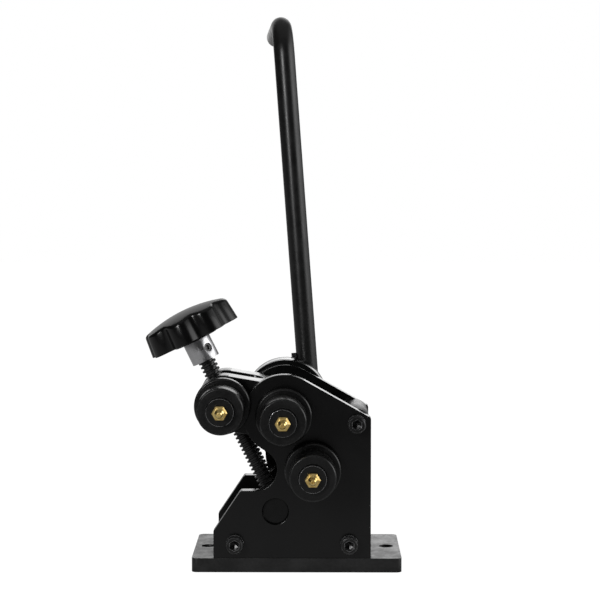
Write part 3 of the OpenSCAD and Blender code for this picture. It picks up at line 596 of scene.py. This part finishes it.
def make_screw():
    """A helix of one thread profile, cut square at both ends, on its plain journal."""
    thread = bmesh.new()
    start = SCREW_LOW - THREAD_PITCH
    turns = math.ceil((BOSS_LOW - start) / THREAD_PITCH) + 1
    rim = [thread.verts.new((r * MM, 0, (start + h) * MM)) for r, h in THREAD_PROFILE]
    edges = [thread.edges.new(pair) for pair in zip(rim, rim[1:])]
    climb = (0, 0, THREAD_PITCH / TURN_STEPS * MM)
    bmesh.ops.spin(thread, geom=rim + edges, cent=(0, 0, 0), axis=(0, 0, 1), angle=math.tau * turns,
                   steps=TURN_STEPS * turns, dvec=climb, use_duplicate=False)
    bmesh.ops.remove_doubles(thread, verts=thread.verts, dist=THREAD_MERGE_DIST)
    for height, outward in ((SCREW_LOW, -1), (BOSS_LOW, 1)):
        everything = thread.verts[:] + thread.edges[:] + thread.faces[:]
        bmesh.ops.bisect_plane(thread, geom=everything, dist=1e-7, plane_co=(0, 0, height * MM),
                               plane_no=(0, 0, outward), clear_outer=True)
    bmesh.ops.holes_fill(thread, edges=[e for e in thread.edges if e.is_boundary])
    bmesh.ops.recalc_face_normals(thread, faces=thread.faces)
    journal = turned(JOURNAL, 64)
    spindle = turned(SPINDLE, 64)
    bm = moved(joined(thread, journal, spindle), AT_SCREW)
    piece("lead_screw_threaded", bm, screw_oxide, "dark_steel", "lead_screw", crease=24)


make_screw()


# Knob

KNOB_R = 44.0
KNOB_DRAFT = math.radians(6)
LOBES = 8
LOBE_DEPTH = 6.0
LOBE_POWER = 1.6
KNOB_PHASE = math.radians(35)
RIM_H = 20.5
DOME_H = 7.0
DOME_R = (KNOB_R ** 2 + DOME_H ** 2) / 2 / DOME_H
TOP_ROUND = 2.4
FOOT_ROUND = 0.7
KNOB_STEPS = 192
FOOT_STEPS = 4
TOP_STEPS = 6
DOME_RINGS = (0.92, 0.84, 0.74, 0.62, 0.48, 0.33, 0.18, 0.07)
BOSS_PROFILE = [(6.1, -2.0), (20.4, -2.0), (21.0, -1.4), (21.0, 0.4), (6.1, 0.4)]


def lobe_radius(angle):
    """Outline of the knob."""
    return KNOB_R - LOBE_DEPTH * ((1 - math.cos(LOBES * (angle - KNOB_PHASE))) / 2) ** LOBE_POWER


def dome_height(radius):
    """Height of the domed top over the knob's foot."""
    return RIM_H + DOME_H - (DOME_R - math.sqrt(DOME_R ** 2 - radius ** 2))


def ring_up(bm, edges, height_of, inset, scale=1.0):
    """Extrudes a ring of edges to a new inset and height, drawn in by the draft; returns its edges."""
    made = bmesh.ops.extrude_edge_only(bm, edges=edges)["geom"]
    for v in (g for g in made if isinstance(g, bmesh.types.BMVert)):
        angle = math.atan2(v.co.y, v.co.x)
        radius = (lobe_radius(angle) - inset) * scale
        height = height_of(radius)
        drawn = radius * (1 - min(height, RIM_H) * math.tan(KNOB_DRAFT) / KNOB_R)
        v.co = Vector((math.cos(angle) * drawn * MM, math.sin(angle) * drawn * MM, height * MM))
    return [g for g in made if isinstance(g, bmesh.types.BMEdge)]


def make_knob():
    """A lobed rim with rounded edges under a domed top, and the boss below it."""
    bm = bmesh.new()
    bmesh.ops.create_circle(bm, segments=KNOB_STEPS, radius=KNOB_R * 0.5 * MM)
    edges = bm.edges[:]
    bmesh.ops.holes_fill(bm, edges=edges)
    edges = ring_up(bm, edges, lambda r: 0.0, FOOT_ROUND)
    for step in range(1, FOOT_STEPS + 1):
        a = math.radians(90 * step / FOOT_STEPS)
        edges = ring_up(bm, edges, lambda r: FOOT_ROUND * (1 - math.cos(a)), FOOT_ROUND * (1 - math.sin(a)))
    for step in range(TOP_STEPS + 1):
        a = math.radians(90 * step / TOP_STEPS)
        edges = ring_up(bm, edges, lambda r: dome_height(r) - TOP_ROUND * (1 - math.sin(a)),
                        TOP_ROUND * (1 - math.cos(a)))
    for scale in DOME_RINGS:
        edges = ring_up(bm, edges, dome_height, TOP_ROUND, scale)
    bmesh.ops.holes_fill(bm, edges=edges)
    tidy(bm)
    boss = turned(BOSS_PROFILE, 96, closed=True)
    bm = moved(joined(bm, boss), AT_SCREW, Matrix.Translation((0, 0, KNOB_LOW * MM)))
    piece("knob_moulded", bm, knob_plastic, "knob_plastic", "knob", crease=40)


make_knob()


# Socket head screws

KNURLS = 36
SIXTH = math.radians(60)

# Shares of a screw's thread: the head's radius and knurls, then rings as height and how far drawn in, and
# the socket's rings as half its flats and height
HEAD_R = 0.8
KNURL_TOP = 0.86
KNURL_DEPTH = 0.028
HEAD_SHOULDER = ((0.9, 0.03), (0.96, 0.06), (1.0, 0.13))
SOCKET_RINGS = ((0.43, 1.0), (0.40, 0.97), (0.40, 0.42), (0.05, 0.22))


def socket_screw(d, shank):
    """A knurled head with a hexagon socket and a plain shank, seat of the head at Z 0."""
    head_r = HEAD_R * d
    bm = bmesh.new()
    bmesh.ops.create_circle(bm, segments=2 * KNURLS, radius=(head_r - 0.2) * MM)
    edges = bm.edges[:]
    bmesh.ops.holes_fill(bm, edges=edges)

    def lift(edges, height, radius, knurl=0.0, hexagon=False):
        made = bmesh.ops.extrude_edge_only(bm, edges=edges)["geom"]
        for v in (g for g in made if isinstance(g, bmesh.types.BMVert)):
            angle = math.atan2(v.co.y, v.co.x)
            valley = round(angle / math.tau * 2 * KNURLS) % 2
            r = (radius - knurl * valley) * MM
            if hexagon:
                r /= math.cos((angle + SIXTH / 2) % SIXTH - SIXTH / 2)
            v.co = Vector((math.cos(angle) * r, math.sin(angle) * r, height * MM))
        return [g for g in made if isinstance(g, bmesh.types.BMEdge)]

    edges = lift(edges, 0.25, head_r)
    edges = lift(edges, 0.6, head_r)
    edges = lift(edges, 0.8, head_r, KNURL_DEPTH * d)
    edges = lift(edges, KNURL_TOP * d, head_r, KNURL_DEPTH * d)
    for height, drawn_in in HEAD_SHOULDER:
        edges = lift(edges, height * d, head_r - drawn_in * d)
    for flats, height in SOCKET_RINGS:
        edges = lift(edges, height * d, flats * d, hexagon=True)
    bmesh.ops.holes_fill(bm, edges=edges)
    tidy(bm)
    body = turned([(0, -shank), (d / 2 - 0.6, -shank), (d / 2, -shank + 0.6), (d / 2, 0.3), (0, 0.3)], 32)
    return joined(bm, body)


def make_screws(node, d, shank, seats, slot):
    """All screws of one node, at their seats and directions."""
    bm = copies(socket_screw(d, shank), seats)
    piece(node + "_knurled", bm, fastener_oxide, slot, node)


PLATE_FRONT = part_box("front_plate")[0].y
PLATE_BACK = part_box("rear_plate")[1].y

# Places of the spacers between the plates, and the bolts at their ends
TIES = ((53.6, 133.7), (47.0, 25.5), (-55.3, 25.6))
BOLT_D = 10
BOLT_SHANK = 30
make_screws("plate_bolts", BOLT_D, BOLT_SHANK, [
    Matrix.Translation((x * MM, y, z * MM)) @ turn
    for x, z in TIES for y, turn in ((PLATE_FRONT, TO_FRONT), (PLATE_BACK, TO_BACK))], "black_oxide")


# Handle

HANDLE_R = 10.0
HANDLE_BORE_R = 7.0
HANDLE_LOW = 21.0
HANDLE_LEN = 407.0
BEND_R = 30.0
GRIP_LEN = 110.0
TUBE_STEPS = 72
UPRIGHT_PARTS = 8
BEND_STEPS = 24
GRIP_PARTS = 3


def tube_path(bm, radius):
    """A round wall along the upright run, the bend and the grip; returns its two open rings."""
    verts = bmesh.ops.create_circle(bm, segments=TUBE_STEPS, radius=radius * MM)["verts"]
    first = list({e for v in verts for e in v.link_edges})
    bmesh.ops.translate(bm, vec=(0, 0, HANDLE_LOW * MM), verts=verts)
    straight = (HANDLE_LEN - BEND_R - HANDLE_LOW) * MM

    def onward(edges, vec):
        made = bmesh.ops.extrude_edge_only(bm, edges=edges)["geom"]
        bmesh.ops.translate(bm, vec=vec, verts=[g for g in made if isinstance(g, bmesh.types.BMVert)])
        return [g for g in made if isinstance(g, bmesh.types.BMEdge)]

    edges = first
    for _ in range(UPRIGHT_PARTS):
        edges = onward(edges, (0, 0, straight / UPRIGHT_PARTS))
    ring = list({v for e in edges for v in e.verts})
    bend = bmesh.ops.spin(bm, geom=ring + edges, cent=(0, BEND_R * MM, (HANDLE_LEN - BEND_R) * MM),
                          axis=(-1, 0, 0), angle=math.pi / 2, steps=BEND_STEPS, use_duplicate=False)
    edges = [g for g in bend["geom_last"] if isinstance(g, bmesh.types.BMEdge)]
    for _ in range(GRIP_PARTS):
        edges = onward(edges, (0, GRIP_LEN / GRIP_PARTS * MM, 0))
    return first, edges


def make_handle():
    """A bent tube with open ends."""
    bm = bmesh.new()
    outer = tube_path(bm, HANDLE_R)
    inner = tube_path(bm, HANDLE_BORE_R)
    for outer_ring, inner_ring in zip(outer, inner):
        bmesh.ops.bridge_loops(bm, edges=outer_ring + inner_ring)
    tidy(bm)
    soften(bm, 0.5, 2, 60)
    piece("handle_bent", moved(bm, AT_HANDLE), handle_paint, "black_paint", "handle")


make_handle()

PLUG_PROFILE = [(0, -12.0), (6.4, -12.0), (6.9, -11.0), (6.9, 0), (10.0, 0), (10.0, 0.9), (9.4, 2.3),
                (8.2, 3.0), (0, 3.0)]
GRIP_END = Matrix.Translation((0, (BEND_R + GRIP_LEN) * MM, HANDLE_LEN * MM))
plug = turned(PLUG_PROFILE, 72)
soften(plug, 0.3, 2, 25)
moved(plug, AT_HANDLE, GRIP_END, TO_BACK)
piece("grip_plug_moulded", plug, plug_plastic, "plug_plastic", "grip_plug")


# Finishes of the CAD nodes that stay as they are

STAYING = {
    "base_bolts": fastener_oxide, "cover_screws": fastener_oxide, "plate_bushes": bronze,
    "cover_bush": bronze, "arm_bushes": bronze, "roller_c_bush": bronze, "roller_c_ring": zinc_steel,
    "roller_key_a": zinc_steel, "roller_key_b": zinc_steel, "gear_a": gear_steel, "gear_b": gear_steel,
    "gear_key_a": zinc_steel, "gear_key_b": zinc_steel, "gear_clip_a": fastener_oxide,
    "gear_clip_b": fastener_oxide}
for node, material in STAYING.items():
    mesh = frame["nodes"][node].data
    mesh.materials.clear()
    mesh.materials.append(material)


# Studio: a white surround, a pale floor and two soft lamps

WHITE = (1, 1, 1, 1)
FILL_LIGHT = 0.35
FLOOR_SIZE = 6.0
FLOOR_GLOW = 0.95
# Strength of the floor's painted glow close to the base, seen only by the machine
FLOOR_PAINTED_GLOW = 0.22
FLOOR_GREY = (0.22, 0.22, 0.22, 1)
LAMP_AIM = (0, 0, 0.40)


def make_surround():
    """White for the camera, and an even fill. Reflections see it brightest behind the machine and on its
    right, with a dark flag there, a card straight behind and a weak light above."""
    world = bpy.data.worlds.new("studio")
    scene.world = world
    world.use_nodes = True
    tree = world.node_tree
    tree.nodes.clear()
    ray = put(tree, "ShaderNodeLightPath").outputs
    outward = put(tree, "ShaderNodeTexCoord").outputs["Generated"]

    # The heading of a ray: X to the right, Y away from the camera, Z up
    heading = put(tree, "ShaderNodeSeparateXYZ", {0: outward}).outputs
    rightward = calc(tree, "ADD", heading[1], calc(tree, "MULTIPLY", heading[0], 0.97))
    behind = spread(tree, rightward, 0.05, 0.55, 0.02, 1.0)
    below_top = spread(tree, heading[2], 0.35, 0.75, 1.0, 0.10)
    above = spread(tree, heading[2], 0.50, 0.90, 0.0, 0.22)
    straight = spread(tree, heading[1], 0.97, 0.99, 0.0, 1.0)
    card = calc(tree, "MULTIPLY", straight, spread(tree, heading[2], -0.04, 0.10, -0.40, 0.60))
    beside = spread(tree, heading[0], 0.18, 0.34, 0.0, 0.85)
    flag = calc(tree, "MULTIPLY", beside, spread(tree, heading[1], 0.35, 0.60, 0.0, 1.0))
    sideways = spread(tree, heading[0], -0.08, 0.06, 0.88, 1.35)
    open_sky = calc(tree, "MULTIPLY", sideways, calc(tree, "SUBTRACT", 1.0, flag))
    lit = calc(tree, "MULTIPLY", calc(tree, "ADD", card, 1.0), open_sky)
    rise = calc(tree, "MULTIPLY", below_top, spread(tree, heading[2], -0.06, 0.06, 0.5, 1.1))
    backdrop = calc(tree, "MULTIPLY", calc(tree, "MULTIPLY", behind, rise), lit)
    mirrored = calc(tree, "MULTIPLY", ray["Is Glossy Ray"], calc(tree, "MAXIMUM", backdrop, above))
    seen = calc(tree, "MAXIMUM", ray["Is Camera Ray"], mirrored)
    fill = calc(tree, "MULTIPLY", ray["Is Diffuse Ray"], FILL_LIGHT)
    strength = calc(tree, "MAXIMUM", seen, fill)
    sky = put(tree, "ShaderNodeBackground", {"Color": WHITE, "Strength": strength})
    tree.links.new(sky.outputs[0], put(tree, "ShaderNodeOutputWorld").inputs[0])


def floor_material():
    """White for the camera. For the machine's own light it has a painted glow, pale close to the base, and a
    painted contact shadow, dark beneath it.
    """
    material = bpy.data.materials.new("floor_white")
    material.use_nodes = True
    tree = material.node_tree
    tree.nodes.clear()
    ray = put(tree, "ShaderNodeLightPath").outputs
    place = put(tree, "ShaderNodeTexCoord").outputs["Object"]
    reach = put(tree, "ShaderNodeSeparateXYZ", {0: place}).outputs
    base_low, base_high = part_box("base_plate")
    past_edge = []
    for i, low, high in ((0, base_low.x, base_high.x), (1, base_low.y, base_high.y)):
        off_centre = calc(tree, "ABSOLUTE", calc(tree, "SUBTRACT", reach[i], (low + high) / 2))
        past_edge.append(calc(tree, "SUBTRACT", off_centre, (high - low) / 2))
    # Painted contact shadow: the glow falls to nothing beneath the base and just past its edges
    clear = spread(tree, calc(tree, "MAXIMUM", *past_edge), -0.004, 0.012, 0.0, 1.0)
    # Painted glow: the floor lights the machine and shows in its reflections, stronger closer to the base
    painted_glow = calc(tree, "MULTIPLY", clear, spread(tree, reach[1], -1.0, -0.15, 0.0, FLOOR_PAINTED_GLOW))
    mirrored = calc(tree, "MULTIPLY", ray["Is Glossy Ray"], painted_glow)
    bounced = calc(tree, "MULTIPLY", ray["Is Diffuse Ray"], painted_glow)
    shown = calc(tree, "MULTIPLY", ray["Is Camera Ray"], FLOOR_GLOW)
    seen = calc(tree, "MAXIMUM", shown, calc(tree, "MAXIMUM", mirrored, bounced))
    glow = put(tree, "ShaderNodeEmission", {"Color": WHITE, "Strength": seen})
    matt = put(tree, "ShaderNodeBsdfDiffuse", {"Color": FLOOR_GREY})
    both = put(tree, "ShaderNodeAddShader", {0: glow.outputs[0], 1: matt.outputs[0]})
    tree.links.new(both.outputs[0], put(tree, "ShaderNodeOutputMaterial").inputs[0])
    return material


def make_floor():
    """A wide level floor under the base."""
    bm = bmesh.new()
    bmesh.ops.create_grid(bm, x_segments=1, y_segments=1, size=FLOOR_SIZE)
    mesh = bpy.data.meshes.new("floor")
    bm.to_mesh(mesh)
    bm.free()
    floor = bpy.data.objects.new("floor", mesh)
    scene.collection.objects.link(floor)
    floor.location.z = cad_box[0].z
    mesh.materials.append(floor_material())


def softbox(name, place, aim, size, watts):
    """A rectangular lamp at a place, facing a point."""
    data = bpy.data.lights.new(name, "AREA")
    data.shape = "RECTANGLE"
    data.size, data.size_y = size
    data.energy = watts
    lamp = bpy.data.objects.new(name, data)
    scene.collection.objects.link(lamp)
    lamp.location = place
    lamp.rotation_euler = (Vector(aim) - Vector(place)).to_track_quat("-Z", "Y").to_euler()


make_surround()
make_floor()
softbox("left_softbox", place=(-0.66, -1.24, 0.62), aim=LAMP_AIM, size=(0.30, 0.50), watts=7.5)
softbox("right_softbox", place=(1.36, -0.36, 0.66), aim=LAMP_AIM, size=(0.90, 0.90), watts=4.0)


# Camera at the photograph's place

PHOTO_FOCUS_PX = 1766.0
PHOTO_WIDTH_PX = 600.0
CAMERA_PLACE = (0.0165, -1.614, 0.3485)
CAMERA_YAW = math.radians(-0.494)
CAMERA_PITCH = math.radians(3.831)


def make_camera():
    """The camera, looking slightly down at the machine."""
    data = bpy.data.cameras.new("camera")
    data.sensor_width = 36.0
    data.lens = PHOTO_FOCUS_PX / PHOTO_WIDTH_PX * data.sensor_width
    data.clip_start, data.clip_end = 0.05, 50.0
    camera = bpy.data.objects.new("camera", data)
    scene.collection.objects.link(camera)
    camera.location = CAMERA_PLACE
    level = math.cos(CAMERA_PITCH)
    look = Vector((math.sin(CAMERA_YAW) * level, math.cos(CAMERA_YAW) * level, -math.sin(CAMERA_PITCH)))
    camera.rotation_euler = look.to_track_quat("-Z", "Y").to_euler()
    scene.camera = camera


make_camera()
scene.view_settings.view_transform = "Standard"
